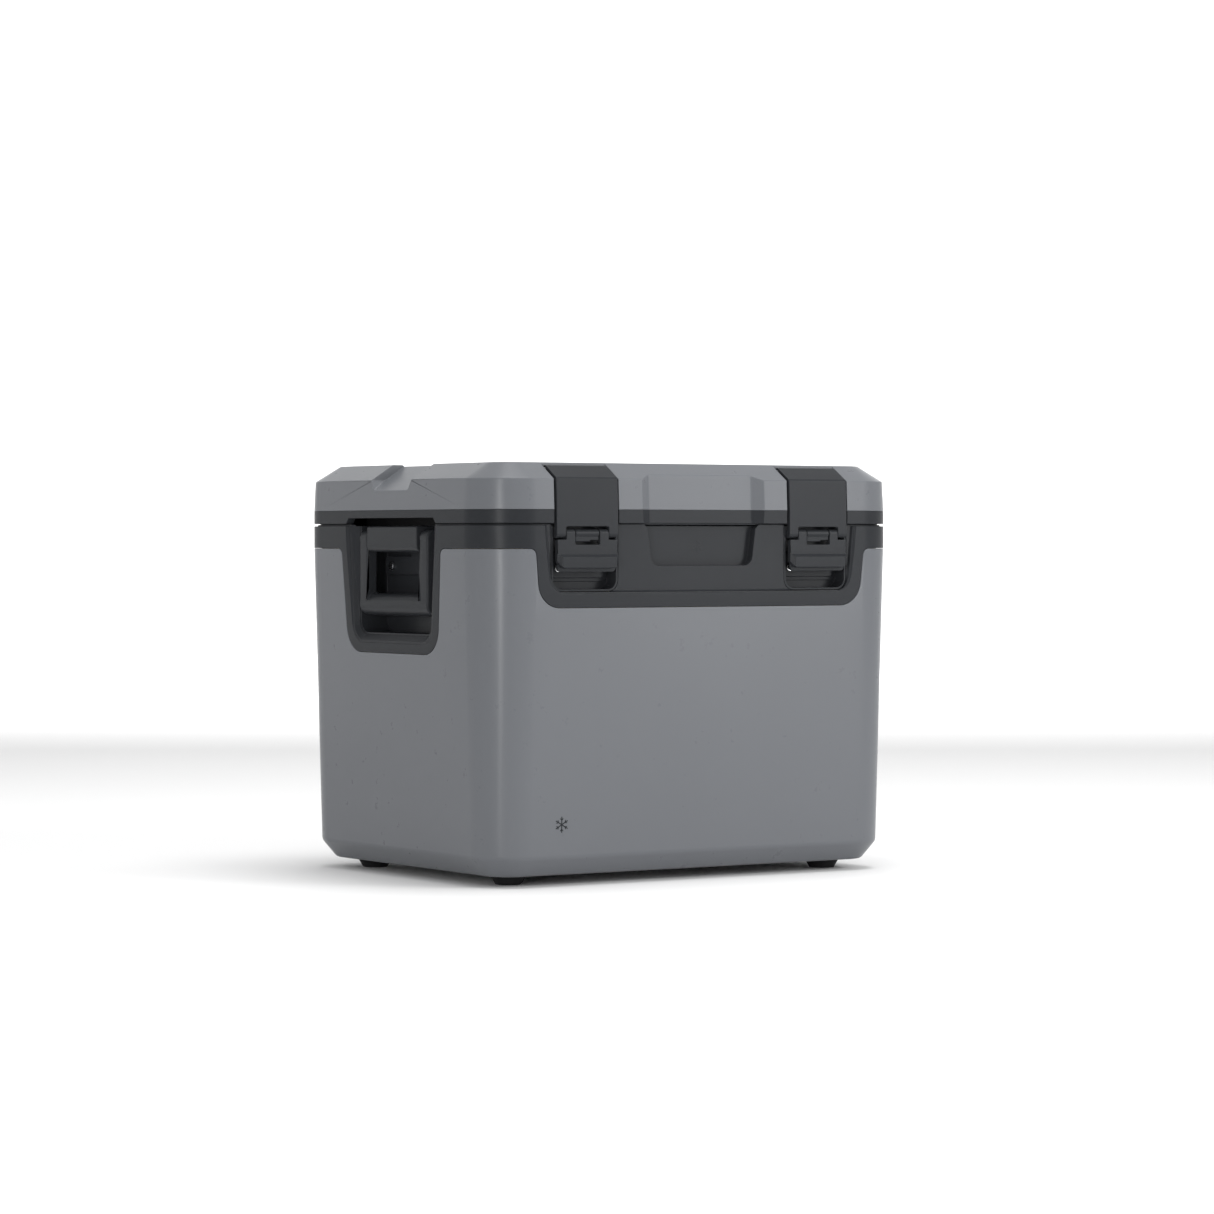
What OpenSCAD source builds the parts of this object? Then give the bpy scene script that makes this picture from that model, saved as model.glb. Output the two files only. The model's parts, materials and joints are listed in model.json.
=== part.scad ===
// Hard cooler: an insulated tub on four rubber feet, with a hinged lid, two front
// latches, two drop-down carry handles, two rear hinges and a screw-in drain plug.
// Millimetres. The origin is on the floor under the middle of the cooler, x points
// right, y points to the rear and z points up. Depths are measured in from a face.

/* [Overall size] */
// Width over the side faces
body_w = 540; // [490:1:660]
// Depth over the front and rear faces
body_d = 418; // [345:1:520]
// Height from the floor to the top of the lid
total_h = 449; // [370:1:560]
// Radius of the upright corners
corner_r = 56; // [48:1:66]

/* [Walls] */
// Thickness of the outer skins
shell_t = 3.5; // [2.5:0.1:4.5]
// Thickness of the light inner liners
liner_t = 3; // [2:0.1:4]
// Insulated wall, from the outer face to the food space
wall_t = 52.5; // [50:0.5:66]
// Floor of the food space above the shell's underside
floor_t = 50; // [40:1:70]
// Radius of the food space's upright corners
cavity_r = 30; // [22:1:36]
// Draft angle of the tub's side faces
draft = 1.5; // [0:0.1:2]

/* [Tub] */
// Height of the feet
foot_h = 11; // [8:0.5:16]
// Height of the chamfer round the underside
chamfer_h = 20; // [12:1:26]
// Width of the chamfer round the underside
chamfer_in = 16; // [10:1:20]
// Height of the dark band round the tub's rim
rim_h = 24.4; // [22:0.1:30]
// Drop of the front and rear panels below the rim
panel_drop = 87; // [82:1:110]
// Depth of the tray in the front and rear panels
tray_depth = 4.5; // [3:0.1:5.5]

/* [Lid] */
// Height of the lid
lid_h = 64.5; // [60:0.5:80]
// Gap between the lid and the tub
seam = 2.5; // [2:0.1:4]
// Height of the dark band round the lid
lid_band_h = 14.5; // [13:0.1:18]
// Height of the sloped rim of the lid
slope_h = 17.5; // [12:0.5:22]
// Width of the sloped rim of the lid
slope_in = 28; // [24:0.5:34]
// Depth of the sunken field on top of the lid
field_sink = 2.6; // [1:0.1:4]
// Depth of the finger recess in the lid's front
recess_depth = 6.8; // [3:0.1:7]

/* [Latches] */
// Width of a latch strap
strap_w = 77.4; // [66:0.2:94]
// Thickness of a latch strap
strap_t = 6; // [5:0.1:6.4]
// Depth of a latch cup behind the front face
cup_depth = 22; // [20:0.5:26]

/* [Side handles] */
// Diameter of the handle's grip
grip_d = 24; // [20:0.5:28]
// Width over the arms of a handle
handle_w = 145.4; // [125:0.2:150]
// Drop from the pivot to the middle of the grip
handle_drop = 71.5; // [62:0.5:80]
// Drop of the side panels below the rim
side_drop = 138; // [132:1:160]

/* [Hidden] */
$fn = 64;

// Colours
grey = [0.49, 0.50, 0.52];
dark = [0.23, 0.235, 0.245];
black = [0.12, 0.12, 0.13];
pale = [0.80, 0.81, 0.81];
steel = [0.75, 0.76, 0.78];
foam = [0.93, 0.89, 0.72];

// Half sizes and heights above the floor
hw = body_w / 2;
hd = body_d / 2;
lid_z = total_h - lid_h;
rim_top = lid_z - seam;
rim_z = rim_top - rim_h;
flange_z = rim_top - 6;
band_top = lid_z + lid_band_h;
crease_z = total_h - slope_h;
cavity_z = foot_h + floor_t;
lean = 1.5;
gap = 0.3;
run = 0.05;

// Rim flange and liner flange meet at this depth
flange_in = wall_t - 5;

// Latches
latch_x = hw - 119;
strap_hw = strap_w / 2;
cup_hw = strap_hw + 0.8;
cup_bottom = rim_top - 67.5;
cup_wall = 2.5;
pocket_hw = strap_hw + 2;
proud = 1.7;
pocket_in = strap_t - proud + 0.5;
knuckle_r = 4.5;
knuckle_in = 22.5;
pocket_end = knuckle_in + knuckle_r + 0.5;
lever_r = 4.8;
lever_in = lever_r - proud;
lever_z = rim_top - 8.5;
prong_in = strap_hw - 11.7;
ear_out = prong_in - 0.5;
ear_in = ear_out - 11;
pin_r = 2;

// Side handles
handle_hw = handle_w / 2;
arm_w = 17;
arm_in = handle_hw - arm_w;
grip_r = grip_d / 2;
pivot_in = 13.6;
pivot_z = rim_top - 14;
grip_z = pivot_z - handle_drop;
grip_in = 3.6 + grip_r;
mouth_hw = handle_hw + 5.3;
mouth_z = rim_top - 116.5;
mouth_in = 9;
handle_cup_in = wall_t - 10;
bracket_hw = arm_in - 2.7;
handle_pin_r = 4;

// Rear hinges
hinge_y = hd + 0.3;
hinge_z = rim_top + seam / 2;
hinge_r = 5.9;
hinge_pin_r = 3;
leaf_hw = 40;
leaf_t = 4.5;
tub_screw_z = [rim_top - 16, rim_top - 32];
lid_screw_z = [lid_z + 21, lid_z + 34];

// Feet and drain
foot_x = hw - 63;
foot_y = hd - 68;
drain_z = cavity_z + 15;
drain_x = hw - (rim_z - drain_z) * tan(draft);

// Centre tab recess
tab_hw = 70.5;
tab_in = tray_depth + 9;

// Vector of length one along v
function unit(v) = v / norm(v);

// Arc of radius r that rounds the corner b between a and c, in n steps
function corner_arc(a, b, c, r, n) =
  let (
    u = unit(a - b),
    v = unit(c - b),
    h = acos(u * v) / 2,
    m = b + unit(u + v) * r / sin(h),
    s = b + u * r / tan(h) - m,
    e = b + v * r / tan(h) - m,
    a0 = atan2(s.y, s.x),
    t = atan2(s.x * e.y - s.y * e.x, s * e)
  )
  [for (i = [0:n]) m + r * [cos(a0 + t * i / n), sin(a0 + t * i / n)]];

// Outline through the points [x, y, corner radius]
function rounded(pts, n = 8) =
  let (k = len(pts), p = [for (q = pts) [q.x, q.y]])
  [
    for (i = [0:k - 1])
      each (pts[i].z > 0
        ? corner_arc(p[(i + k - 1) % k], p[i], p[(i + 1) % k], pts[i].z, n)
        : [p[i]])
  ];

// Adds the mirror image of a right-hand half outline, which runs from top to bottom
function mirrored(half) = concat(half, [for (i = [len(half) - 1:-1:0]) [-half[i].x, half[i].y, half[i].z]]);

// Inset of the tub's face at height z
function wall_in(z) = max(0, (rim_z - z) * tan(draft));

// Inset and height of the lid's crease when its faces move in by t
function lid_crease(t) = [lean + t, crease_z - t * (norm([slope_in, slope_h]) - slope_h) / slope_in];

// Height of the lid's slope at inset u when it moves in by t
function slope_z(u, t) = lid_crease(t).y + (u - lid_crease(t).x) * slope_h / slope_in;

// Height of the strap hinge
knuckle_z = slope_z(knuckle_in, knuckle_r - proud);

// Box between two corners
module box(a, b) {
  translate(a)
    cube(b - a);
}

// Extrudes a y-z outline from x0 to x1
module slab_x(x0, x1, pts) {
  translate([x0, 0, 0])
    rotate([90, 0, 90])
      linear_extrude(x1 - x0)
        polygon(pts);
}

// Extrudes an x-z outline from y0 to y1
module slab_y(y0, y1, pts) {
  translate([0, y1, 0])
    rotate([90, 0, 0])
      linear_extrude(y1 - y0)
        polygon(pts);
}

// Round bar along x
module rod_x(x0, x1, y, z, r) {
  translate([x0, y, z])
    rotate([0, 90, 0])
      cylinder(r = r, h = x1 - x0);
}

// Round bar along y
module rod_y(y0, y1, x, z, r) {
  translate([x, y1, z])
    rotate([90, 0, 0])
      cylinder(r = r, h = y1 - y0);
}

// Solid box with upright corners of radius r and faces that follow prof, a list of
// [inset, z] from bottom to top
module block(w, d, r, prof) {
  n = len(prof);
  slab_x(-w / 2 + r, w / 2 - r, concat(
    [for (p = prof) [p.x - d / 2, p.y]],
    [for (i = [n - 1:-1:0]) [d / 2 - prof[i].x, prof[i].y]]));
  slab_y(-d / 2 + r, d / 2 - r, concat(
    [for (p = prof) [p.x - w / 2, p.y]],
    [for (i = [n - 1:-1:0]) [w / 2 - prof[i].x, prof[i].y]]));
  for (i = [0:3])
    translate([(i == 0 || i == 3 ? 1 : -1) * (w / 2 - r), (i < 2 ? 1 : -1) * (d / 2 - r), 0])
      rotate(90 * i)
        rotate_extrude(angle = 90)
          polygon(concat(
            [[0, prof[0].y]],
            [for (p = prof) [r - p.x, p.y]],
            [[0, prof[n - 1].y]]));
}

// Plain rounded block at a depth u inside the outer faces, from z0 to z1
module core(u, z0, z1) {
  block(body_w, body_d, corner_r, [[u, z0], [u, z1]]);
}

// Solid between the outline a at y = y0 and the outline b at y = y1
module loft_y(y0, a, y1, b) {
  n = len(a);
  polyhedron(
    points = concat([for (p = a) [p.x, y0, p.y]], [for (p = b) [p.x, y1, p.y]]),
    faces = concat(
      [[for (i = [0:n - 1]) i]],
      [[for (i = [n - 1:-1:0]) n + i]],
      [for (i = [0:n - 1]) each [[i, n + i, (i + 1) % n], [(i + 1) % n, n + i, n + (i + 1) % n]]]));
}

// Puts children at the left or right latch and hinge
module at_latch(side) {
  translate([side * latch_x, 0, 0])
    children();
}

// Turns children, drawn for the right side face, to the left or right side face
module at_side(side) {
  rotate(side > 0 ? 0 : 180)
    children();
}

// Profile of the tub's outer faces, moved in by t, up to height z1
function tub_profile(t, z1) =
  let (diagonal = norm([chamfer_in, chamfer_h]))
  concat(
    [
      [wall_in(foot_h) + chamfer_in + t * (diagonal - chamfer_in) / chamfer_h, foot_h + t],
      [wall_in(foot_h + chamfer_h) + t, foot_h + chamfer_h + t * (diagonal - chamfer_h) / chamfer_in]
    ],
    z1 > rim_z ? [[t, rim_z]] : [],
    [[wall_in(z1) + t, z1]]);

// Outline of the front and rear panels, grown by g
function panel_outline(g) =
  let (w = latch_x + strap_hw + 24.6 + g, z = rim_top - panel_drop - g)
  rounded(mirrored([[w + 20, rim_z + 6, 0], [w + 20, rim_z - g, 0], [w, rim_z - g, 8 - g], [w - 5.8, z, 27 + g]]));

// Outline of the tray in the front and rear panels, grown by k
function tray_outline(k) =
  let (w = latch_x + strap_hw + 10.5 + k, z = rim_top - panel_drop + 18 - k)
  rounded(mirrored([[w, rim_top + 8, 0], [w - 8, z, 17 + k]]));

// Outline of the centre tab recess
function tab_outline() =
  rounded(mirrored([[tab_hw + 7, rim_top + 4, 0], [tab_hw, rim_top - 3, 5], [tab_hw - 5.5, rim_top - 43, 11]]));

// Outline of a latch cup's inside, grown by g, up to height z1
function cup_outline(g, z1) = rounded(mirrored([[cup_hw + g, z1, 0], [cup_hw + g, cup_bottom - g, 10 + g]]));

// Outline of the side panels, grown by g
function side_outline(g) =
  let (w = mouth_hw + 27.8 + g, z = rim_top - side_drop - g)
  rounded(mirrored([[w + 20, rim_z + 6, 0], [w + 20, rim_z - g, 0], [w, rim_z - g, 8 - g], [w - 10, z, 30 + g]]));

// Outline of the side panel's inner edge, grown by k
function frame_outline(k) =
  let (w = mouth_hw + 19.2 + k, z = rim_top - side_drop + 8 - k)
  rounded(mirrored([[w, rim_top + 8, 0], [w - 11.3, z, 25 + k]]));

// Outline of a handle cup's inside, grown by g, up to height z1
function mouth_outline(g, z1) = rounded(mirrored([[mouth_hw + g, z1, 0], [mouth_hw + g, mouth_z - g, 14 + g]]));

// Rounded rectangle centred on x = 0
function plate_outline(w, z0, z1, r) = rounded(mirrored([[w, z1, r], [w, z0, r]]));

// Solid of the food space, grown by t, up to height z1
module cavity(t, z1) {
  taper = rim_top - cavity_z;
  block(body_w - 2 * wall_t + 2 * t, body_d - 2 * wall_t + 2 * t, cavity_r + t, [
    [taper * tan(1) + 10, cavity_z - t],
    [(taper - 10) * tan(1), cavity_z + 10 - 0.4 * t],
    [0, rim_top - 12],
    [0, z1]
  ]);
}

// Block inside the walls at depth u, with corners concentric with the food space
module opening(u, z0, z1) {
  block(body_w - 2 * u, body_d - 2 * u, cavity_r + wall_t - u, [[0, z0], [0, z1]]);
}

// Body of the tub, up to height z1
module tub_block(t, z1) {
  block(body_w, body_d, corner_r, tub_profile(t, z1));
}

// Screw places of a front catch, in x
catch_screw_x = cup_hw - 14;
catch_screw_z = cup_bottom + 22.2;

// Grey outer skin of the tub
module outer_shell() {
  color(grey)
    difference() {
      tub_block(0, rim_z - gap);
      tub_block(shell_t, rim_z + 5);
      slab_y(-hd - 5, -hd + 30, panel_outline(gap));
      slab_y(hd - 30, hd + 5, panel_outline(gap));
      for (side = [-1, 1])
        at_side(side)
          slab_x(hw - 30, hw + 5, side_outline(gap));
      for (x = [-foot_x, foot_x], y = [-foot_y, foot_y])
        translate([x, y, foot_h - 1])
          cylinder(r = 2.6, h = shell_t + 2);
      rod_x(drain_x - 20, hw + 5, 0, drain_z, 30.3);
    }
}

// Light inner skin of the food space
module inner_liner() {
  color(pale)
    difference() {
      union() {
        cavity(liner_t, rim_top - 1);
        opening(flange_in, rim_top - liner_t, rim_top);
      }
      cavity(0, rim_top + 5);
      rod_x(hw - wall_t - 20, hw, 0, drain_z, 17.2);
    }
}

// Insulation between the tub's skins
module insulation_foam() {
  color(foam)
    difference() {
      union() {
        tub_block(shell_t + gap, rim_z - gap);
        core(8 + gap, rim_z - 10, flange_z - gap);
      }
      cavity(liner_t + gap, rim_top);
      for (side = [0, 180])
        rotate(side)
          box([-latch_x - 90, -hd - 1, rim_top - panel_drop - 1], [latch_x + 90, -hd + 9, rim_top]);
      box([-tab_hw - 4, -hd - 1, rim_top - 47], [tab_hw + 4, -hd + tab_in + 3 + gap, rim_top]);
      for (side = [-1, 1]) {
        at_latch(side)
          slab_y(-hd - 1, -hd + cup_depth + cup_wall + gap, cup_outline(cup_wall + gap, rim_top));
        at_side(side) {
          box([hw - 12 - gap, -mouth_hw - 50, rim_top - side_drop - 1], [hw + 1, mouth_hw + 50, rim_top]);
          slab_x(hw - handle_cup_in - cup_wall - gap, hw + 1, mouth_outline(cup_wall + gap, rim_top));
        }
      }
      rod_x(drain_x - 17 - gap, hw, 0, drain_z, 30.3);
      rod_x(0, hw, 0, drain_z, 17.3);
    }
}

// Dark rim of the tub with its front, rear and side panels
module rim_frame() {
  color(dark)
    difference() {
      union() {
        difference() {
          core(0, rim_z, rim_top);
          core(8, rim_z - 1, flange_z);
          opening(flange_in - gap, flange_z - 1, rim_top + 1);
        }
        difference() {
          core(4.2, rim_top - 1, rim_top + 0.6 * seam);
          core(6.4, rim_top - 2, rim_top + seam);
        }
        intersection() {
          tub_block(0, rim_top);
          union() {
            slab_y(-hd - 1, -hd + 8, panel_outline(0));
            slab_y(hd - 8, hd + 1, panel_outline(0));
            for (side = [-1, 1])
              at_side(side) {
                slab_x(hw - 12, hw + 1, side_outline(0));
                box([hw - 12, -mouth_hw - 29, rim_z + 1], [hw + 1, mouth_hw + 29, flange_z + 1]);
              }
          }
        }
        box([-tab_hw - 3.5, -hd + 6, rim_top - 46], [tab_hw + 3.5, -hd + tab_in + 3, flange_z + 1]);
      }
      for (a = [0, 180])
        rotate(a) {
          loft_y(-hd - 2, tray_outline(tray_depth + 2), -hd + 1.8, tray_outline(tray_depth - 1.8));
          loft_y(-hd + 1.79, tray_outline(tray_depth - 3), -hd + tray_depth, tray_outline(0));
        }
      slab_y(-hd - 5, -hd + tab_in, tab_outline());
      for (side = [-1, 1]) {
        at_latch(side) {
          slab_y(-hd - 5, -hd + cup_depth + cup_wall + gap, cup_outline(cup_wall + gap, rim_top + 5));
          rod_x(-leaf_hw - 1, leaf_hw + 1, hinge_y, hinge_z, hinge_r + 0.7);
          for (x = [-28, 28], z = tub_screw_z)
            rod_y(hd - 9, hd, x, z, 2.1);
        }
        rotate(90 * side) {
          loft_y(-hw - 2, frame_outline(2), -hw + 3, frame_outline(-3));
          loft_y(-hw + 2.99, frame_outline(-5), -hw + mouth_in, mouth_outline(1.5, rim_top + 8));
        }
        at_side(side)
          slab_x(hw - handle_cup_in - cup_wall - gap, hw - mouth_in + 0.01, mouth_outline(cup_wall + gap, rim_top + 5));
      }
    }
}

// Open-topped cup behind a latch
module latch_cup(side) {
  color(dark)
    at_latch(side)
      difference() {
        slab_y(-hd + tray_depth, -hd + cup_depth + cup_wall, cup_outline(cup_wall, rim_top));
        slab_y(-hd, -hd + cup_depth, cup_outline(0, rim_top + 5));
        for (x = [-catch_screw_x, catch_screw_x])
          rod_y(-hd, -hd + 40, x, catch_screw_z, 2.1);
      }
}

// Catch plate on the back of a latch cup, with the keeper lip that the lever hooks behind
module catch_plate(side) {
  y = -hd + cup_depth;
  color(dark)
    at_latch(side)
      difference() {
        union() {
          slab_y(y - 2, y, plate_outline(cup_hw - 1.5, cup_bottom + 8, cup_bottom + 41.5, 8));
          slab_y(y - 4, y - 1.9, plate_outline(cup_hw - 5.5, cup_bottom + 12, cup_bottom + 37.5, 5));
          box([-14, y - 4, cup_bottom + 37], [14, y, cup_bottom + 50.5]);
          box([-14, y - 8.5, cup_bottom + 45.5], [14, y - 3.9, cup_bottom + 50.5]);
        }
        for (x = [-catch_screw_x, catch_screw_x])
          rod_y(y - 10, y + 5, x, catch_screw_z, 2.1);
      }
}

// Bright screws that hold the catch plates
module catch_screws() {
  y = -hd + cup_depth - 4;
  color(steel)
    for (side = [-1, 1])
      at_latch(side)
        for (x = [-catch_screw_x, catch_screw_x]) {
          rod_y(y - 2, y, x, catch_screw_z, 4);
          rod_y(y - 1, y + cup_wall + 3.8, x, catch_screw_z, 2);
        }
}

// Cup behind a carry handle
module handle_cup(side) {
  x = hw - handle_cup_in;
  color(dark)
    at_side(side)
      difference() {
        slab_x(x - cup_wall, hw - mouth_in - gap, mouth_outline(cup_wall, rim_top));
        slab_x(x, hw, mouth_outline(0, rim_top + 5));
        for (y = [-bracket_screw_y, bracket_screw_y])
          rod_x(x - 10, x + 10, y, bracket_screw_z, 2.1);
      }
}

// Places of the screws through a handle bracket's back plate
bracket_screw_y = mouth_hw - 18;
bracket_screw_z = rim_top - 44;

// Underside of a handle bracket's bearing block
bracket_z = pivot_z - 14.2;

// Bearing block of a carry handle with its back plate
module handle_bracket(side) {
  x = hw - handle_cup_in;
  color(dark)
    at_side(side)
      difference() {
        union() {
          slab_y(-bracket_hw, bracket_hw, rounded([
            [x, bracket_z, 0], [hw - 2, bracket_z, 7], [hw - 2, rim_top - 0.5, 2.5], [x, rim_top - 0.5, 0]
          ]));
          slab_x(x, x + 4, plate_outline(mouth_hw - 2, rim_top - 53.5, rim_top - 33, 6));
          box([x, -20, rim_top - 40], [x + 4, 20, bracket_z + 2]);
        }
        rod_y(-bracket_hw - 1, bracket_hw + 1, hw - pivot_in, pivot_z, handle_pin_r + run);
        for (y = [-bracket_screw_y, bracket_screw_y])
          rod_x(x - 1, x + 10, y, bracket_screw_z, 2.1);
        for (y = [-25, 25])
          translate([hw - 28, y, 0]) {
            translate([0, 0, rim_top - 12.5])
              cylinder(r = 1.9, h = 20);
            translate([0, 0, rim_top - 3.1])
              cylinder(r = 3.8, h = 10);
          }
      }
}

// Screws of both handle brackets
module bracket_screws() {
  x = hw - handle_cup_in;
  color(steel)
    for (side = [-1, 1])
      at_side(side) {
        for (y = [-bracket_screw_y, bracket_screw_y]) {
          rod_x(x + 4, x + 6.5, y, bracket_screw_z, 4.5);
          rod_x(x - cup_wall + 0.2, x + 5, y, bracket_screw_z, 2);
        }
        for (y = [-25, 25])
          translate([hw - 28, y, 0]) {
            translate([0, 0, rim_top - 12])
              cylinder(r = 1.8, h = 10);
            translate([0, 0, rim_top - 3])
              cylinder(r = 3.6, h = 2.2);
          }
      }
}

// Drop-down carry handle: two arms and a grip
module handle(side) {
  color(dark)
    at_side(side)
      difference() {
        union() {
          rod_y(-handle_hw, handle_hw, hw - grip_in, grip_z, grip_r);
          for (y = [-handle_hw, arm_in]) {
            rod_y(y, y + arm_w, hw - pivot_in, pivot_z, 10);
            box([hw - pivot_in - 4, y, grip_z], [hw - pivot_in + 9.6, y + arm_w, pivot_z]);
          }
        }
        rod_y(-handle_hw + 2.5, handle_hw - 2.5, hw - pivot_in, pivot_z, handle_pin_r + run);
      }
}

// Pivot pin of a carry handle
module handle_pin(side) {
  color(steel)
    at_side(side)
      rod_y(-handle_hw + 2.7, handle_hw - 2.7, hw - pivot_in, pivot_z, handle_pin_r);
}

// Tapered rubber foot with a counterbored screw hole
module foot(sx, sy) {
  color(black)
    translate([sx * foot_x, sy * foot_y, 0])
      rotate_extrude()
        polygon([
          [6, 0], [13.2, 0], [14, 0.8], [19.2, foot_h - 1.4], [20, foot_h],
          [2.6, foot_h], [2.6, 5], [6, 5]
        ]);
}

// Screws of the four feet
module foot_screws() {
  color(steel)
    for (x = [-foot_x, foot_x], y = [-foot_y, foot_y])
      translate([x, y, 0]) {
        translate([0, 0, 2.4])
          cylinder(r = 5, h = 2.6);
        translate([0, 0, 4])
          cylinder(r = 2.5, h = foot_h + shell_t - 4.1);
      }
}

// Hinge leaf on the tub's rear panel, with the two outer knuckles
module hinge_tub_leaf(side) {
  color(dark)
    at_latch(side)
      difference() {
        union() {
          box([-leaf_hw, hd - leaf_t, rim_top - 42], [leaf_hw, hd, rim_top - 5.4]);
          for (x = [-leaf_hw, 16]) {
            box([x, hd - leaf_t, rim_top - 12], [x + leaf_hw - 16, hinge_y, hinge_z]);
            rod_x(x, x + leaf_hw - 16, hinge_y, hinge_z, hinge_r);
          }
        }
        rod_x(-leaf_hw - 1, leaf_hw + 1, hinge_y, hinge_z, hinge_pin_r + run);
        for (x = [-28, 28], z = tub_screw_z) {
          rod_y(hd - 9, hd + 1, x, z, 2.1);
          rod_y(hd - 2.1, hd + 1, x, z, 4.2);
        }
      }
}

// Hinge leaf on the lid, with the middle knuckle
module hinge_lid_leaf(side) {
  color(dark)
    at_latch(side)
      difference() {
        union() {
          box([-leaf_hw, hd - leaf_t, hinge_z + 6.75], [leaf_hw, hd - 0.2, lid_z + 40.5]);
          box([-15.5, hd - leaf_t, hinge_z], [15.5, hinge_y, hinge_z + 12.75]);
          rod_x(-15.5, 15.5, hinge_y, hinge_z, hinge_r);
        }
        rod_x(-leaf_hw, leaf_hw, hinge_y, hinge_z, hinge_pin_r + run);
        for (x = [-28, 28], z = lid_screw_z) {
          rod_y(hd - 9, hd + 1, x, z, 2.1);
          rod_y(hd - 2.3, hd + 1, x, z, 4.2);
        }
      }
}

// Pin of a rear hinge
module hinge_pin(side) {
  color(steel)
    at_latch(side)
      rod_x(-leaf_hw, leaf_hw, hinge_y, hinge_z, hinge_pin_r);
}

// Sunk screws of one pair of hinge leaves, at the heights zs, with shanks of length l
module leaf_screws(zs, l) {
  color(steel)
    for (side = [-1, 1])
      at_latch(side)
        for (x = [-28, 28], z = zs) {
          rod_y(hd - 2, hd - 0.3, x, z, 4);
          rod_y(hd - l, hd - 1, x, z, 2);
        }
}

// Screws of the hinge leaves on the tub
module hinge_tub_screws() {
  leaf_screws(tub_screw_z, 7.8);
}

// Screws of the hinge leaves on the lid
module hinge_lid_screws() {
  leaf_screws(lid_screw_z, 11.5);
}

// Inner end of the drain, flush with the food space's wall
drain_end = hw - wall_t - (rim_top - drain_z) * tan(1) + 0.3;

// Drain cup in the right side face, with its tube through the wall
module drain_housing() {
  color(dark)
    difference() {
      union() {
        rod_x(drain_x - 17, drain_x - 1.2, 0, drain_z, 30);
        rod_x(drain_end, drain_x - 16, 0, drain_z, 17);
      }
      rod_x(drain_x - 14, drain_x + 5, 0, drain_z, 27);
      rod_x(drain_end - 1, drain_x, 0, drain_z, 13.5);
    }
}

// Screw-in drain plug with a grip bar across its head
module drain_plug() {
  color(black)
    union() {
      difference() {
        rod_x(drain_x - 10, drain_x - 3, 0, drain_z, 24);
        rod_x(drain_x - 7, drain_x, 0, drain_z, 20);
      }
      rod_x(drain_end + 4, drain_x - 9, 0, drain_z, 13.4);
      box([drain_x - 8, -3.5, drain_z - 21], [drain_x - 2, 3.5, drain_z + 21]);
    }
}

// Sealing ring under the drain plug's head
module drain_seal() {
  color(black)
    translate([drain_x - 12, 0, drain_z])
      rotate([0, 90, 0])
        rotate_extrude()
          translate([17.6, 0])
            circle(1.8);
}

// Solid of the lid moved in by t, from z0 below the band's top up to z1 on the slope
module lid_block(t, z0, z1) {
  c = lid_crease(t);
  block(body_w, body_d, corner_r, concat(
    z0 < band_top ? [[t, z0]] : [],
    [[t, band_top], c, [c.x + (z1 - c.y) * slope_in / slope_h, z1]]));
}

// Sloped ramp of a tie-down notch, lowered by g
module tie_ramp(g) {
  rise = 0.648;
  z = lid_z + 35 - g;
  top = total_h + 10;
  slab_y(-43 - g, 43 + g, [[hw + 5, z - 5 * rise], [hw + 5, top], [hw - (top - z) / rise, top]]);
}

// Cutter of a tie-down notch in the lid's end
module tie_notch() {
  z = lid_z + 35;
  intersection() {
    tie_ramp(0);
    slab_x(hw - 70, hw + 6, rounded(mirrored([
      [43, total_h + 10, 0], [43, crease_z, 4], [35, z, 4], [31.7, z - 5, 0]
    ])));
  }
}

// Cutter of the finger recess in the lid's front
module lid_recess() {
  w = 78.5;
  c = w - 1.65 * recess_depth;
  translate([0, -hd, lid_z])
    rotate([-2.6, 0, 0])
      translate([0, 0, -5])
        linear_extrude(lid_h + 20)
          polygon(rounded([
            [-w - 9.9, -6, 0], [-c, recess_depth, 6], [c, recess_depth, 6], [w + 9.9, -6, 0]
          ]));
}

// Cutter of a latch strap's pocket
module strap_pocket() {
  slab_x(-pocket_hw, pocket_hw, concat(
    [for (p = [
      [-10, lid_z - 5],
      [pocket_in, lid_z - 5],
      [pocket_in, band_top],
      lid_crease(pocket_in),
      [pocket_end, slope_z(pocket_end, pocket_in)],
      [pocket_end, total_h + 5],
      [-10, total_h + 5]
    ]) [p.x - hd, p.y]]));
  rod_x(-pocket_hw, pocket_hw, -hd + knuckle_in, knuckle_z, knuckle_r + 0.6);
}

// Solid backing behind the pockets in the lid, grown by g
module lid_backing(g) {
  z = band_top - 10;
  for (side = [-1, 1]) {
    at_latch(side) {
      box([-pocket_hw - 9 - g, -hd - 1, z], [pocket_hw + 9 + g, -hd + pocket_end + 6 + g, total_h]);
      box([-leaf_hw - 4 - g, hd - 13 - g, z], [leaf_hw + 4 + g, hd + 1, lid_z + 44 + g]);
    }
    at_side(side)
      tie_ramp(5 + g);
  }
  box([-84 - g, -hd - 1, z], [84 + g, -hd + recess_depth + 5.8 + g, crease_z + 7 + g]);
}

// Hollow of the lid's skin, moved in by g
module lid_hollow(g) {
  difference() {
    lid_block(shell_t + g, band_top - 5, total_h - field_sink - shell_t - g);
    lid_backing(g);
  }
}

// Pocket for the hinge leaf of the lid
module leaf_pocket() {
  box([-leaf_hw - 0.5, hd - leaf_t, lid_z - 5], [leaf_hw + 0.5, hd + 5, lid_z + 41]);
}

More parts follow.
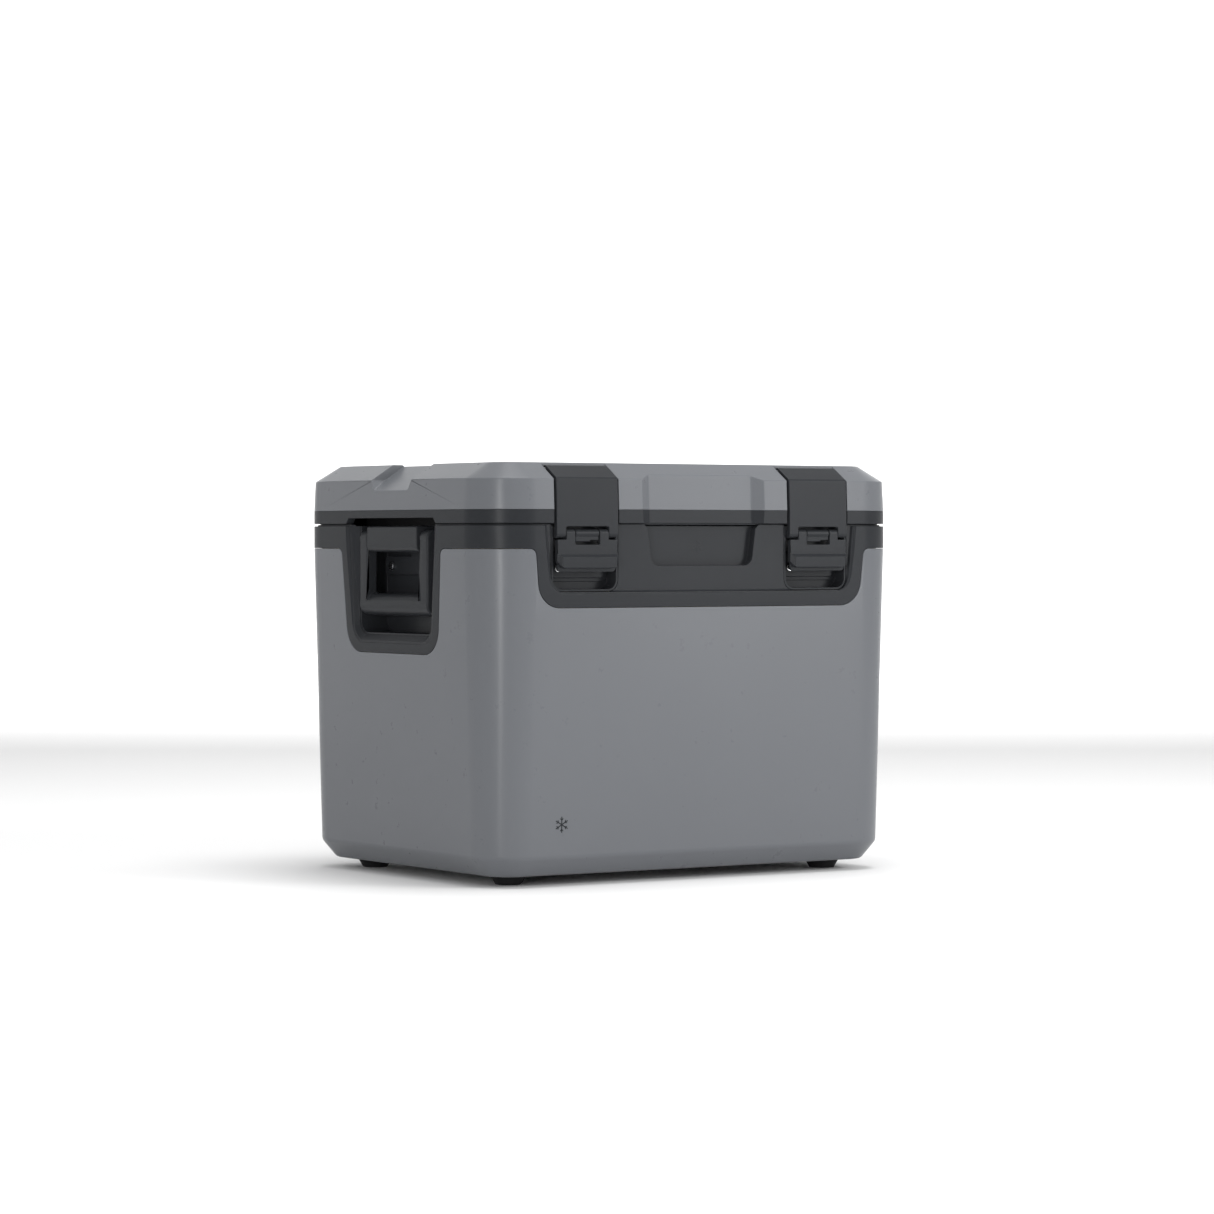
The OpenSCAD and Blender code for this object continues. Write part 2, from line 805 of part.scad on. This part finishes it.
// Grey outer skin of the lid
module lid_shell() {
  color(grey)
    difference() {
      lid_block(0, band_top, total_h);
      lid_hollow(0);
      block(body_w, body_d, corner_r, [[44.5, total_h - field_sink], [42, total_h + 0.01], [42, total_h + 2]]);
      lid_recess();
      for (side = [-1, 1]) {
        at_side(side)
          tie_notch();
        at_latch(side) {
          strap_pocket();
          leaf_pocket();
          rod_x(-strap_hw - 7.6, strap_hw + 7.6, -hd + knuckle_in, knuckle_z, pin_r + run);
          for (x = [-28, 28], z = lid_screw_z)
            rod_y(hd - 12, hd, x, z, 2.1);
        }
      }
    }
}

// Dark frame round the lid's lower edge
module lid_frame() {
  color(dark)
    difference() {
      union() {
        difference() {
          core(0, lid_z, band_top);
          core(9.5, lid_z - 1, band_top + 1);
        }
        difference() {
          core(7, lid_z - 0.6 * seam, lid_z + 1);
          core(9.5, lid_z - seam, lid_z + 2);
        }
        difference() {
          core(5, lid_z + 6.5, lid_z + 9.5);
          opening(flange_in - gap, lid_z, band_top);
        }
      }
      lid_recess();
      for (side = [-1, 1]) {
        at_latch(side) {
          strap_pocket();
          leaf_pocket();
          rod_x(-leaf_hw - 1, leaf_hw + 1, hinge_y, hinge_z, hinge_r + 0.7);
        }
        at_side(side)
          slab_x(hw - 12, hw + 5, [
            [-mouth_hw - 21.1, lid_z - 4], [mouth_hw + 21.1, lid_z - 4],
            [mouth_hw + 12.5, lid_z + 6], [-mouth_hw - 12.5, lid_z + 6]
          ]);
      }
    }
}

// Light inner skin of the lid, with the plug that reaches into the food space
module lid_liner() {
  color(pale)
    difference() {
      union() {
        opening(flange_in, lid_z + 6.5, lid_z + 9.5);
        opening(wall_t + 2.5, rim_top - 6, lid_z + 7);
      }
      opening(wall_t + 5.5, rim_top - 3, lid_z + 12);
    }
}

// Insulation inside the lid
module lid_foam() {
  color(foam)
    union() {
      opening(wall_t + 5.5 + gap, rim_top - 3 + gap, lid_z + 10.5);
      core(9.5 + gap, lid_z + 9.5 + gap, band_top - gap);
      difference() {
        core(9.5 + gap, band_top - 1, band_top + 0.2);
        lid_backing(gap);
      }
      difference() {
        lid_hollow(gap);
        core(-1, band_top - 8, band_top);
      }
    }
}

// Rubber gasket under the lid
module lid_gasket() {
  color(black)
    difference() {
      opening(wall_t - 8, rim_top + gap, lid_z + 6.5);
      opening(wall_t - 2, rim_top, lid_z + 8);
    }
}

// Latch strap: hinged on top of the lid, folded over the crease, with two prongs below
module latch_strap(side) {
  slope = unit([slope_in, slope_h]);
  color(dark)
    at_latch(side)
      difference() {
        union() {
          slab_x(-strap_hw, strap_hw, [for (p = [
            [-proud, lever_z],
            [-proud, band_top],
            lid_crease(-proud),
            [knuckle_in, knuckle_z] + knuckle_r * [-slope.y, slope.x],
            [knuckle_in, knuckle_z],
            [knuckle_in, slope_z(knuckle_in, strap_t - proud)],
            lid_crease(strap_t - proud),
            [strap_t - proud, band_top],
            [strap_t - proud, lever_z]
          ]) [p.x - hd, p.y]]);
          rod_x(-strap_hw, strap_hw, -hd + knuckle_in, knuckle_z, knuckle_r);
          for (x = [-strap_hw, prong_in])
            rod_x(x, x + strap_hw - prong_in, -hd + lever_in, lever_z, lever_r);
        }
        slab_y(-hd - 10, -hd + 15, plate_outline(prong_in, rim_top - 30, rim_top - 1, 2));
        rod_x(-strap_hw - 1, strap_hw + 1, -hd + knuckle_in, knuckle_z, pin_r + run);
        rod_x(-strap_hw + 2, strap_hw - 2, -hd + lever_in, lever_z, pin_r + run);
      }
}

// Pin of a latch strap's hinge
module strap_pin(side) {
  color(steel)
    at_latch(side)
      rod_x(-strap_hw - 7.3, strap_hw + 7.3, -hd + knuckle_in, knuckle_z, pin_r);
}

// Front outline of a latch lever down to z: two ears with a window between them
function lever_outline(w, z, r) = rounded(mirrored([
  [ear_in, rim_top - 20.3, 1.5], [ear_in, lever_z, 0], [ear_out, lever_z, 0], [ear_out, rim_top - 15, 1],
  [w, rim_top - 15, 1.5], [w, z, r]
]));

// Latch lever with a raised lip, a set-back lower edge and the hook behind it
module latch_lever(side) {
  w = strap_hw - 0.7;
  z = rim_top - 45.4;
  color(dark)
    at_latch(side)
      difference() {
        union() {
          slab_y(-hd - proud, -hd + 3.3, lever_outline(w, z + 4, 5));
          slab_y(-hd + 0.6, -hd + 3.3, lever_outline(w - 1.5, z - 3.6, 4));
          intersection() {
            slab_x(-strap_hw, strap_hw, [for (p = [
              [-proud + 1, -30], [-proud, -30.6], [-proud - 4.5, -33.6], [-proud - 4.1, -44.6],
              [-proud - 3.3, -45.4], [1.5, -45.4], [1.5, -30]
            ]) [p.x - hd, rim_top + p.y]]);
            slab_y(-hd - 10, -hd + 5, rounded(mirrored([[w, rim_top - 28, 0], [w, z, 9]])));
            translate([0, 0, z - 5])
              linear_extrude(30)
                polygon(rounded(mirrored([[w - 4, -hd - proud - 4.5, 0], [w, -hd - proud + 0.2, 0], [w, -hd + 6, 0]])));
          }
          for (x = [-ear_out, ear_in])
            rod_x(x, x + ear_out - ear_in, -hd + lever_in, lever_z, lever_r);
          box([-12, -hd + 2, rim_top - 32], [12, -hd + cup_depth - 9, rim_top - 24]);
        }
        rod_x(-strap_hw, strap_hw, -hd + lever_in, lever_z, pin_r + run);
      }
}

// Pin between a latch strap and its lever
module lever_pin(side) {
  color(steel)
    at_latch(side)
      rod_x(-strap_hw + 2.2, strap_hw - 2.2, -hd + lever_in, lever_z, pin_r);
}

// Barrel on the lever pin, between the lever's ears, with a short tail
module latch_barrel(side) {
  color(dark)
    at_latch(side)
      difference() {
        union() {
          rod_x(-ear_in + 1, ear_in - 1, -hd + lever_in, lever_z, 4.6);
          box([-ear_in + 1, -hd - 0.2, rim_top - 17], [4, -hd + 3.3, lever_z]);
          box([3, -hd - 0.2, rim_top - 15.4], [ear_in - 1, -hd + 3.3, lever_z]);
        }
        rod_x(-ear_in, ear_in, -hd + lever_in, lever_z, pin_r + run);
      }
}

outer_shell();
inner_liner();
insulation_foam();
rim_frame();
latch_cup(-1);  // latch_cup_left
latch_cup(1);  // latch_cup_right
catch_plate(-1);  // catch_plate_left
catch_plate(1);  // catch_plate_right
catch_screws();
handle_cup(-1);  // handle_cup_left
handle_cup(1);  // handle_cup_right
handle_bracket(-1);  // handle_bracket_left
handle_bracket(1);  // handle_bracket_right
bracket_screws();
handle(-1);  // handle_left
handle(1);  // handle_right
handle_pin(-1);  // handle_pin_left
handle_pin(1);  // handle_pin_right
foot(-1, -1);  // foot_front_left
foot(1, -1);  // foot_front_right
foot(-1, 1);  // foot_rear_left
foot(1, 1);  // foot_rear_right
foot_screws();
hinge_tub_leaf(-1);  // hinge_tub_leaf_left
hinge_tub_leaf(1);  // hinge_tub_leaf_right
hinge_lid_leaf(-1);  // hinge_lid_leaf_left
hinge_lid_leaf(1);  // hinge_lid_leaf_right
hinge_pin(-1);  // hinge_pin_left
hinge_pin(1);  // hinge_pin_right
hinge_tub_screws();
hinge_lid_screws();
drain_housing();
drain_plug();
drain_seal();
lid_shell();
lid_frame();
lid_liner();
lid_foam();
lid_gasket();
latch_strap(-1);  // latch_strap_left
latch_strap(1);  // latch_strap_right
strap_pin(-1);  // strap_pin_left
strap_pin(1);  // strap_pin_right
latch_lever(-1);  // latch_lever_left
latch_lever(1);  // latch_lever_right
lever_pin(-1);  // lever_pin_left
lever_pin(1);  // lever_pin_right
latch_barrel(-1);  // latch_barrel_left
latch_barrel(1);  // latch_barrel_right
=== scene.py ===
"""Looks for the hard cooler: rounded edges, moulded surfaces, floor, light and camera round the CAD part."""

import json
import math

import bmesh
import bpy
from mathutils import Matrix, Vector


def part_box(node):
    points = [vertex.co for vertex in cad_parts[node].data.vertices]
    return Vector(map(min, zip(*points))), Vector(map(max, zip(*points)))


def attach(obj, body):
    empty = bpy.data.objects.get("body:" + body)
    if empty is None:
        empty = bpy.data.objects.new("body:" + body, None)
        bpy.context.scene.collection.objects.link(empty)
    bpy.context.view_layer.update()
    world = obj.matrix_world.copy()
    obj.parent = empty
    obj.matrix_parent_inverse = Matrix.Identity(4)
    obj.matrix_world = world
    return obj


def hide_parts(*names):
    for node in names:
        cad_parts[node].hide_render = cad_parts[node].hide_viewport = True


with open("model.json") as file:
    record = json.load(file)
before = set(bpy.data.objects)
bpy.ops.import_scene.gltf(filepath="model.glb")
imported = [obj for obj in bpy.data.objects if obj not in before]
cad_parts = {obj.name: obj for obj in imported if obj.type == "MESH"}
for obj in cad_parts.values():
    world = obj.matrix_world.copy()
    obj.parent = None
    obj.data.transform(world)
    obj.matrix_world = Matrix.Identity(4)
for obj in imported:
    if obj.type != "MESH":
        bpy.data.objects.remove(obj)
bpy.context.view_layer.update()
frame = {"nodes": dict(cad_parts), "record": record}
NODES = frame["nodes"]
SLOT_OF = {s["node"]: s["material_slot"] for s in frame["record"]["subparts"]}
BODY_OF = {n: b for b, ns in frame["record"]["behaviour"]["bodies"].items() for n in ns}

# ---------------------------------------------------------------- camera

CAMERA_PLACE = (-2.4585, -3.7516, 0.3654)
CAMERA_AIM = Vector((0.5499, 0.8351, -0.01646))


def add_camera():
    """Long lens at the height of the cooler's rim, with the front and the left side in view."""
    data = bpy.data.cameras.new("camera")
    data.lens = 118.63
    data.sensor_width = 36
    data.clip_end = 60
    cam = bpy.data.objects.new("camera", data)
    cam.location = CAMERA_PLACE
    cam.rotation_mode = "QUATERNION"
    cam.rotation_quaternion = CAMERA_AIM.to_track_quat("-Z", "Y")
    bpy.context.scene.collection.objects.link(cam)
    bpy.context.scene.camera = cam


# ---------------------------------------------------------------- materials

EDGE_WEAR_WIDTH = 0.0007


def new_material(name):
    """Material with its shader and a short way to add nodes to it."""
    mat = bpy.data.materials.new(name)
    mat.use_nodes = True
    tree = mat.node_tree

    def make(kind, inputs=None, **props):
        node = tree.nodes.new(kind)
        for key, value in props.items():
            setattr(node, key, value)
        for key, value in (inputs or {}).items():
            if isinstance(value, bpy.types.NodeSocket):
                tree.links.new(value, node.inputs[key])
            else:
                node.inputs[key].default_value = value
        return node

    return mat, tree.nodes["Principled BSDF"], make


def noise(make, where, scale, detail, roughness):
    inputs = {"Vector": where, "Scale": scale, "Detail": detail, "Roughness": roughness}
    return make("ShaderNodeTexNoise", inputs).outputs["Fac"]


def spread_over(make, value, source, target):
    """The value, moved from the source range to the target range."""
    inputs = {"Value": value, "From Min": source[0], "From Max": source[1]}
    inputs.update({"To Min": target[0], "To Max": target[1]})
    return make("ShaderNodeMapRange", inputs).outputs["Result"]


def product(make, a, b):
    return make("ShaderNodeMath", {0: a, 1: b}, operation="MULTIPLY").outputs["Value"]


def blend(make, factor, a, b):
    """Mix of two colours, each a colour or a socket."""
    node = make("ShaderNodeMix", {"Factor": factor}, data_type="RGBA")
    for key, value in (("A", a), ("B", b)):
        if isinstance(value, bpy.types.NodeSocket):
            node.id_data.links.new(value, node.inputs[key])
        else:
            node.inputs[key].default_value = value
    return node.outputs["Result"]


def bumped(make, height, depth, strength):
    inputs = {"Height": height, "Distance": depth, "Strength": strength}
    return make("ShaderNodeBump", inputs).outputs["Normal"]


def scaled(color, factor, lift=0.0):
    return [min(1, c * factor + lift) for c in color] + [1]


def plastic(name, color, rough, grain, grain_depth, spread, wear=0.25, gleam=0.5):
    """Moulded plastic: fine grain, slow changes of tone and gloss, and edges rubbed lighter in places."""
    mat, shader, make = new_material(name)
    where = make("ShaderNodeTexCoord").outputs["Object"]
    fine = noise(make, where, grain, 3.0, 0.6)
    slow = noise(make, where, 7.0, 4.0, 0.55)
    marks = noise(make, where, 60.0, 6.0, 0.7)
    # an edge is where the normal of a rounded-off surface leaves the true one
    soft = make("ShaderNodeBevel", {"Radius": EDGE_WEAR_WIDTH}, samples=4).outputs["Normal"]
    true = make("ShaderNodeNewGeometry").outputs["Normal"]
    dot = make("ShaderNodeVectorMath", {0: soft, 1: true}, operation="DOT_PRODUCT").outputs["Value"]
    edge = spread_over(make, dot, (0.995, 0.90), (0.0, 1.0))
    broken = spread_over(make, marks, (0.42, 0.62), (0.15, 1.0))
    worn = product(make, product(make, edge, broken), wear)
    tone = blend(make, slow, scaled(color, 1 - spread), scaled(color, 1 + spread))
    rubbed = blend(make, worn, tone, scaled(color, 1.6, 0.03))
    gloss = spread_over(make, marks, (0.3, 0.7), (rough - 0.008, rough + 0.008))
    bump = bumped(make, fine, grain_depth, 1.0)
    links = mat.node_tree.links
    links.new(rubbed, shader.inputs["Base Color"])
    links.new(gloss, shader.inputs["Roughness"])
    links.new(bump, shader.inputs["Normal"])
    shader.inputs["IOR"].default_value = 1.49
    shader.inputs["Specular IOR Level"].default_value = gleam
    return mat


def metal(name, color, rough):
    """Steel with fine uneven tone and gloss."""
    mat, shader, make = new_material(name)
    shader.inputs["Metallic"].default_value = 1.0
    where = make("ShaderNodeTexCoord").outputs["Object"]
    marks = noise(make, where, 900.0, 5.0, 0.7)
    tone = blend(make, marks, scaled(color, 0.85), scaled(color, 1.1))
    gloss = spread_over(make, marks, (0.3, 0.7), (rough * 0.7, rough * 1.4))
    bump = bumped(make, marks, 0.00002, 0.6)
    links = mat.node_tree.links
    links.new(tone, shader.inputs["Base Color"])
    links.new(gloss, shader.inputs["Roughness"])
    links.new(bump, shader.inputs["Normal"])
    return mat


# name, colour, roughness, grains per metre, grain depth in metres, spread of tone
GREY_COLOR = (0.128, 0.134, 0.145)
GREY = plastic("grey_shell_plastic", GREY_COLOR, 0.28, 2400.0, 0.000003, 0.03, wear=0.06, gleam=0.17)
DARK = plastic("dark_trim_plastic", (0.0225, 0.0241, 0.0270), 0.34, 1600.0, 0.00001, 0.08, gleam=0.10)
BLACK = plastic("black_plastic", (0.010, 0.010, 0.011), 0.45, 1100.0, 0.00005, 0.08, gleam=0.3)
PALE = plastic("pale_liner_plastic", (0.60, 0.62, 0.63), 0.34, 900.0, 0.00002, 0.03, wear=0.1)
RUBBER = plastic("rubber", (0.010, 0.010, 0.011), 0.62, 700.0, 0.00008, 0.12, wear=0.4, gleam=0.3)
FOAM = plastic("foam", (0.74, 0.66, 0.42), 0.85, 380.0, 0.0004, 0.12, wear=0.0)
STEEL = metal("steel", (0.58, 0.59, 0.61), 0.28)
BRIGHT = metal("bright_screw_steel", (0.92, 0.93, 0.95), 0.12)
BY_SLOT = {
    "grey_plastic": GREY, "dark_plastic": DARK, "black_plastic": BLACK, "pale_plastic": PALE,
    "rubber": RUBBER, "foam": FOAM, "steel": STEEL, "bright_screws": BRIGHT,
}

# ---------------------------------------------------------------- geometry

MERGE_DISTANCE = 0.00004
FLAT_ANGLE = math.radians(0.5)
# edges turning less than the first angle stay as they are, and less than the second count as blunt
SMOOTH_BELOW, BLUNT_BELOW = 24, 66


def refine(node, soft, crisp):
    """New piece in the shape of a CAD node, with its facets joined and its edges rounded off: blunt
    edges, such as creases and chamfers, by soft, and square ones by crisp."""
    bm = bmesh.new()
    bm.from_mesh(NODES[node].data)
    bmesh.ops.remove_doubles(bm, verts=bm.verts, dist=MERGE_DISTANCE)
    bmesh.ops.dissolve_degenerate(bm, edges=bm.edges, dist=MERGE_DISTANCE)
    bmesh.ops.dissolve_limit(bm, angle_limit=FLAT_ANGLE, verts=bm.verts, edges=bm.edges)
    bmesh.ops.triangulate(bm, faces=[f for f in bm.faces if len(f.verts) > 4])
    bmesh.ops.recalc_face_normals(bm, faces=bm.faces)
    layer = bm.edges.layers.float.new("bevel_weight_edge")
    wide = max(soft, crisp)
    for e in bm.edges:
        angle = math.degrees(e.calc_face_angle(0)) if len(e.link_faces) == 2 else 0
        e[layer] = (0 if angle < SMOOTH_BELOW else soft if angle < BLUNT_BELOW else crisp) / wide
        e.smooth = True
    for f in bm.faces:
        f.smooth = True
    mesh = bpy.data.meshes.new(node + "_shape")
    bm.to_mesh(mesh)
    bm.free()
    piece = bpy.data.objects.new(node + "_shape", mesh)
    bpy.context.scene.collection.objects.link(piece)
    bevel = piece.modifiers.new("round", "BEVEL")
    bevel.limit_method = "WEIGHT"
    bevel.width = wide
    bevel.segments = 3
    bevel.use_clamp_overlap = False
    bevel.loop_slide = False
    normals = piece.modifiers.new("normals", "WEIGHTED_NORMAL")
    normals.mode = "FACE_AREA"
    normals.weight = 100
    normals.keep_sharp = True
    slot = SLOT_OF[node]
    mesh.materials.append(BY_SLOT[slot])
    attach(piece, BODY_OF[node])
    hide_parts(node)


# edge rounding in metres, for blunt and for square edges
PLAIN_ROUNDING = (0.0005, 0.0005)
FOAMS = ("insulation_foam", "lid_foam")
ROUNDING = {
    "outer_shell": (0.0030, 0.0008), "lid_shell": (0.0010, 0.0005),
    "rim_frame": (0.0006, 0.0005), "lid_frame": (0.0006, 0.0005),
    "handle_left": (0.0022, 0.0022), "handle_right": (0.0022, 0.0022),
    "handle_bracket_left": (0.0010, 0.0010), "handle_bracket_right": (0.0010, 0.0010),
    "latch_strap_left": (0.0018, 0.0006), "latch_strap_right": (0.0018, 0.0006),
}
for name in NODES:
    if name not in FOAMS:
        refine(name, *ROUNDING.get(name, PLAIN_ROUNDING))
for name in FOAMS:
    NODES[name].data.materials.clear()
    NODES[name].data.materials.append(FOAM)


FLAKE_THICKNESS = 0.0005
FLAKE_SUNK = 0.0002
ARM_HALF_WIDTH = 0.035


def snowflake(name, body, middle, size, lean=0.0):
    """Plain six-armed flake, half a millimetre thick and sunk a little into a front face."""
    h = size * ARM_HALF_WIDTH
    arm = [(1.732 * h, -h), (size * 0.27, -h), (size * 0.36, -size * 0.12), (size * 0.42, -size * 0.10),
           (size * 0.35, -h), (size * 0.5, -h)]
    arm += [(u, -v) for u, v in reversed(arm[1:])]
    bm = bmesh.new()
    verts = []
    for k in range(6):
        a = math.radians(60 * k + 30)
        for u, v in arm:
            x, z = u * math.cos(a) - v * math.sin(a), u * math.sin(a) + v * math.cos(a)
            verts.append(bm.verts.new((middle[0] + x, middle[1] + FLAKE_SUNK - z * lean, middle[2] + z)))
    face = bm.faces.new(verts)
    up = bmesh.ops.extrude_face_region(bm, geom=[face])
    for v in up["geom"]:
        if isinstance(v, bmesh.types.BMVert):
            v.co.y -= FLAKE_THICKNESS
    bmesh.ops.recalc_face_normals(bm, faces=bm.faces)
    mesh = bpy.data.meshes.new(name)
    bm.to_mesh(mesh)
    bm.free()
    mesh.materials.append(DARK)
    piece = bpy.data.objects.new(name, mesh)
    bpy.context.scene.collection.objects.link(piece)
    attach(piece, body)


# the tub's faces lean in by this slope towards the floor
DRAFT = math.tan(math.radians(1.5))
FLAKE_Z = 0.066
TAB_DEPTH = 0.0135
front_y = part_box("outer_shell")[0][1]
shell_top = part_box("outer_shell")[1][2]
flake_y = front_y + (shell_top - FLAKE_Z) * DRAFT
snowflake("flake_mark", "tub", (-0.178, flake_y, FLAKE_Z), 0.017, DRAFT)
snowflake("flake_on_tab", "tub", (0.0, front_y + TAB_DEPTH, 0.360), 0.014)

# ---------------------------------------------------------------- floor and light

FLOOR_HALF_WIDTH = 16.0
FLOOR_NEAR, FLOOR_FAR = -14.0, 9.0
SWEEP = 4.0
BACKDROP_TOP = 14.0


def add_stage():
    """Pale floor that turns up into a backdrop far behind the cooler, square to the camera."""
    bm = bmesh.new()
    rows = []
    run = [(FLOOR_NEAR, 0.0), (FLOOR_FAR, 0.0)]
    for i in range(1, 13):
        a = math.radians(90 * i / 12)
        run.append((FLOOR_FAR + SWEEP * math.sin(a), SWEEP * (1 - math.cos(a))))
    run.append((FLOOR_FAR + SWEEP, BACKDROP_TOP))
    for s, z in run:
        rows.append([bm.verts.new((x, s, z)) for x in (-FLOOR_HALF_WIDTH, FLOOR_HALF_WIDTH)])
    for a, b in zip(rows, rows[1:]):
        f = bm.faces.new((a[0], a[1], b[1], b[0]))
        f.smooth = True
    mesh = bpy.data.meshes.new("floor")
    bm.to_mesh(mesh)
    bm.free()
    floor = bpy.data.objects.new("floor", mesh)
    floor.rotation_euler = (0, 0, -math.radians(33.37))  # the camera's azimuth
    bpy.context.scene.collection.objects.link(floor)
    mat, shader, _ = new_material("floor")
    shader.inputs["Base Color"].default_value = (0.81, 0.81, 0.81, 1)
    shader.inputs["Roughness"].default_value = 0.9
    shader.inputs["Specular IOR Level"].default_value = 0.1
    mesh.materials.append(mat)


def add_light(name, where, target, size, power):
    data = bpy.data.lights.new(name, "AREA")
    data.shape = "RECTANGLE"
    data.size, data.size_y = size
    data.energy = power
    lamp = bpy.data.objects.new(name, data)
    lamp.location = where
    lamp.rotation_mode = "QUATERNION"
    lamp.rotation_quaternion = (Vector(target) - Vector(where)).to_track_quat("-Z", "Y")
    bpy.context.scene.collection.objects.link(lamp)


def add_lights():
    """White dome, a key from the front right, a top light, and small lights that mirror in the faces."""
    world = bpy.data.worlds.new("world")
    world.use_nodes = True
    dome = world.node_tree.nodes["Background"]
    dome.inputs["Color"].default_value = (1, 1, 1, 1)
    dome.inputs["Strength"].default_value = 0.68
    bpy.context.scene.world = world
    add_light("key", (1.9, -2.6, 1.5), (0, 0, 0.25), (1.2, 1.4), 45)
    add_light("top", (0.2, -0.2, 3.0), (0, 0, 0.3), (1.6, 1.6), 58)
    add_light("glow", (1.5, -2.25, 0.35), (0.1, -0.2, 0.33), (0.5, 0.5), 7)
    add_light("streak", (-2.5, -2.0, 0.3), (-0.2, -0.2, 0.25), (0.22, 1.0), 32)
    add_light("side", (-1.31, 2.23, 0.5), (-0.25, 0.1, 0.25), (0.5, 1.3), 2.2)
    add_light("backdrop", (2.6, 3.9, 5.0), (7.0, 10.6, 1.5), (5.0, 2.0), 900)


add_camera()
add_stage()
add_lights()
bpy.context.scene.view_settings.view_transform = "Standard"
